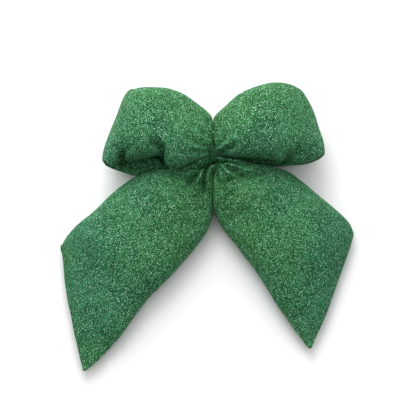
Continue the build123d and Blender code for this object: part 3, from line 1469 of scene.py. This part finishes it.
def left_tail() -> Tail:
    """The left tail, the longer of the two.

    Returns:
        The tail, before it is built.
    """
    rows = (
        ((5, -10), (1.2, -12), 27, 4, 4), ((14, -16), (0.6, -22), 27.5, 7, 8),
        ((34, -20.5), (0.5, -38), 27, 11, 14), ((59, -21), (0.3, -58), 21, 13.5, 17),
        ((82, -27), (2.2, -70), 16, 17.5, 15), ((102, -42), (13, -96), 13.5, 19, 13.5),
        ((118, -58), (30, -118), 13, 18.5, 13), ((132, -71.5), (50, -140), 13, 16.5, 13),
        ((141.5, -81.5), (73, -167), 12, 13, 12), ((148, -89.5), (96.5, -198.5), 10, 8.5, 8),
        ((152.5, -97.5), (127.5, -226), 8, 0.4, 0.4),
    )
    creases = (
        Crease(((-2.5, -17), (-4.5, -21), (-8, -29), (-10, -38), (-8, -52)), 12, 2.0, lip=0.5),
        Crease(((-2, -16.5), (-9, -22), (-18, -25.5), (-31, -25.5)), 8, 1.8, lip=0.5),
        Crease(((-2, -16), (-14, -29), (-26, -43)), 6.5, 2.4, lip=0.5),
        Crease(((-0.5, -16), (-3, -28), (-3.5, -42)), 2.5, 1.3),
        Crease(((-2, -15), (-20, -34), (-30, -56)), 2.4, 3),
        Crease(((-61, -153), (-65, -142), (-76, -128)), 2.5, 5),
    )
    return Tail(
        Side.LEFT, rows, creases, rings=128, seed=21, gather=1.5, gather_count=9, end_bulge=2.2
    )


def right_tail() -> Tail:
    """The right tail.

    Returns:
        The tail, before it is built.
    """
    rows = (
        ((5, -10), (1.2, -12), 27, 4, 4), ((14, -13), (0.6, -22), 27.5, 7, 8),
        ((34, -15), (0.5, -37), 27.5, 11.5, 14), ((60, -17), (0.3, -56), 21.5, 14, 17),
        ((78, -21.5), (2.8, -68), 16, 17.5, 15), ((95.5, -33.5), (12, -86), 13.5, 19, 13.5),
        ((110, -46), (27, -106), 13, 19, 13), ((121, -56), (43, -128), 13, 17.5, 13),
        ((130.5, -66), (59, -156), 12, 14.5, 12), ((137, -74.5), (79.5, -185), 10.5, 9.5, 9),
        ((141, -84), (96, -203.5), 8, 0.4, 0.4),
    )
    creases = (
        Crease(((2, -15), (8, -17.5), (18, -19.5), (30, -20), (42, -19.5)), 6.5, 1.8, lip=0.55),
        Crease(((2, -15.5), (16, -26), (33, -34)), 4.5, 2.0, lip=0.5),
        Crease(((2, -16), (11, -30), (20, -45)), 4.5, 2.4, lip=0.4),
        Crease(((54, -26), (42, -32), (29, -38)), 2.2, 3),
        Crease(((1.5, -16), (5, -32), (7, -50)), 4, 2.4),
    )
    return Tail(Side.RIGHT, rows, creases, rings=120, seed=33, gather=1.3, gather_count=8)


@dataclass
class TwistTie:
    """A flat wire tie behind the band: a middle stretch and two ends that bend."""

    wing: float = 0.28
    ridge: float = 0.8
    half_width: float = 2.0
    slope: float = 13.7       # from the joint to where an end reaches the resting plane

    def profile(self) -> np.ndarray:
        """The strip's section, thin at its wings and raised over the wire.

        Returns:
            Y and the height over the wire's axis, one row for each point.
        """
        half = [
            (0.0, self.ridge / 2), (0.18, 0.36), (0.42, 0.2), (0.7, self.wing / 2),
            (1.85, self.wing / 2), (self.half_width, 0.0),
        ]
        upper = [(-y, z) for y, z in half[::-1]] + half[1:]
        return np.array(upper + [(y, -z) for y, z in upper[-2:0:-1]])

    def strip(self, node: str, path: list, paper: bpy.types.Material) -> bpy.types.Object:
        """A stretch of the strip.

        Args:
            node: The node that it stands for.
            path: X and Z along its middle.
            paper: Its material.

        Returns:
            The strip.
        """
        line = smooth_path(np.array([(x, 0.0, z) for x, z in path]), 40)
        ahead = np.gradient(line, axis=0)
        ahead /= np.linalg.norm(ahead, axis=1)[:, None]
        rings = []
        for place, way in zip(line, ahead):
            up = np.array([-way[2], 0.0, way[0]]) * (1 if way[0] > 0 else -1)
            rings.append([place + np.array([0, y, 0]) + up * z for y, z in self.profile()])
        mesh = mend(sleeve_mesh(node, np.array(rings) * MM, False), True)
        piece = make_object(node + "_paper", mesh, paper)
        piece.data.shade_flat()
        return piece

    def build(self, frame: dict, paper: bpy.types.Material, wire: bpy.types.Material) -> list:
        """Builds the strips and dresses the wires.

        Args:
            frame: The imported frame.
            paper: The strip's material.
            wire: The wire's material.

        Returns:
            The strips.
        """
        low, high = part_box("tie_strip_centre")
        centre_z = (low.z + high.z) / 2 / MM
        end_low, end_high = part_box("tie_strip_right")
        start, end = end_low.x / MM, end_high.x / MM
        rest_z = end_low.z / MM + self.ridge / 2
        bend = start + self.slope
        route = [
            (start, centre_z), (start + 3, centre_z), (start + 6, centre_z - 2.0),
            (bend - 3.5, rest_z + 1.9), (bend, rest_z + 0.15), (bend + 4, rest_z),
            (end - 12, rest_z), (end, rest_z),
        ]
        made = []
        for node, body, path in (
            ("tie_strip_centre", "waist", [(x / MM, centre_z) for x in (low.x, 0.0, high.x)]),
            ("tie_strip_right", "right_tie", route),
            ("tie_strip_left", "left_tie", [(-x, z) for x, z in route]),
        ):
            piece = self.strip(node, path, paper)
            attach(piece, body)
            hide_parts(node)
            made.append(piece)
        for place in ("centre", "right", "left"):
            node = frame["nodes"][f"tie_wire_{place}"]
            for slot in node.material_slots:
                slot.material = wire
        return made


# ---------------------------------------------------------------- studio


@dataclass(frozen=True)
class Studio:
    """The floor, the soft lights and the camera."""

    elevation: float = 72.0
    lens: float = 154.3
    distance: float = 1.8
    look_at: tuple = (-0.003, -0.0625, 0.02)
    bright_side: tuple = (-0.10, 0.82, 0.52)
    dim: float = 0.04
    bright: float = 1.85
    key_place: tuple = (-0.25, 1.0, 0.75)
    key_aim: tuple = (0.0, -0.08, 0.02)
    key_power: float = 13.0
    key_size: float = 0.9
    backdrop: float = 0.95

    def build(self) -> None:
        """Builds the whole studio."""
        self.floor()
        self.lights()
        self.camera()

    def floor(self) -> None:
        """A large floor on the plane that the bow rests on."""
        half = 3.0
        mesh = bpy.data.meshes.new("floor")
        mesh.from_pydata(
            [(-half, -half, 0), (half, -half, 0), (half, half, 0), (-half, half, 0)], [],
            [(0, 1, 2, 3)],
        )
        make_object("floor", mesh, PaleFloor().make())

    def lights(self) -> None:
        """A large key light beyond the loops, a little to the left, and a pale surround."""
        lamp = bpy.data.lights.new("key", "AREA")
        lamp.size, lamp.energy = self.key_size, self.key_power
        made = bpy.data.objects.new("key", lamp)
        made.location = self.key_place
        aim = Vector(self.key_aim) - Vector(self.key_place)
        made.rotation_euler = aim.to_track_quat("-Z", "Y").to_euler()
        bpy.context.scene.collection.objects.link(made)
        self.surround()
        bpy.context.scene.view_settings.view_transform = "Standard"

    def surround(self) -> None:
        """A pale surround that is brighter towards the key light, plain to the camera."""
        world = bpy.data.worlds.new("surround")
        world.use_nodes = True
        g = Graph("surround", world)
        way = g.node("ShaderNodeTexCoord", None, None, "Generated")
        facing = g.node(
            "ShaderNodeVectorMath", {"operation": "DOT_PRODUCT"}, {0: way, 1: self.bright_side},
            "Value",
        )
        share = g.node("ShaderNodeMapRange", None, {
            "Value": facing, "From Min": -0.55, "From Max": 0.95,
            "To Min": self.dim, "To Max": self.bright,
        })
        seen = g.node("ShaderNodeLightPath", None, None, "Is Camera Ray")
        light = g.node(
            "ShaderNodeBackground", None,
            {"Strength": share * (1 - seen) + seen * self.backdrop},
        )
        g.node("ShaderNodeOutputWorld", None, {"Surface": light})
        bpy.context.scene.world = world

    def camera(self) -> None:
        """Looks down on the bow from the tails' side."""
        data = bpy.data.cameras.new("camera")
        data.lens = self.lens
        made = bpy.data.objects.new("camera", data)
        angle = math.radians(self.elevation)
        target = Vector(self.look_at)
        made.location = target + Vector((0, -math.cos(angle), math.sin(angle))) * self.distance
        made.rotation_euler = (target - made.location).to_track_quat("-Z", "Y").to_euler()
        bpy.context.scene.collection.objects.link(made)
        bpy.context.scene.camera = made


def main() -> None:
    """Builds the bow round the frame and reports each piece."""
    logging.basicConfig(level=logging.INFO, format="%(name)s: %(message)s")
    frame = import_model()
    Studio().build()
    knit, wadding, thread = GlitterKnit().make(), Wadding().make(), Thread().make()
    for lobe in (left_loop(), right_loop(), left_tail(), right_tail()):
        lobe.build(knit, wadding)
        if isinstance(lobe, Loop):
            sign = lobe.side.value
            lobe.declare((3 * MM * sign, 0, 0.028), (26 * MM * sign, 0, 0.028))
        else:
            lobe.declare((0, -0.012, 0.03), (0, -0.045, 0.03))
        LOG.info("%s: %d faces", lobe.cover.name, len(lobe.cover.data.polygons))
    middle = Waist().build(knit, thread)
    tie = TwistTie().build(frame, TiePaper().make(), TieWire().make())
    for piece in middle + tie:
        LOG.info("%s: %d faces", piece.name, len(piece.data.polygons))


if __name__ == "__main__":
    main()
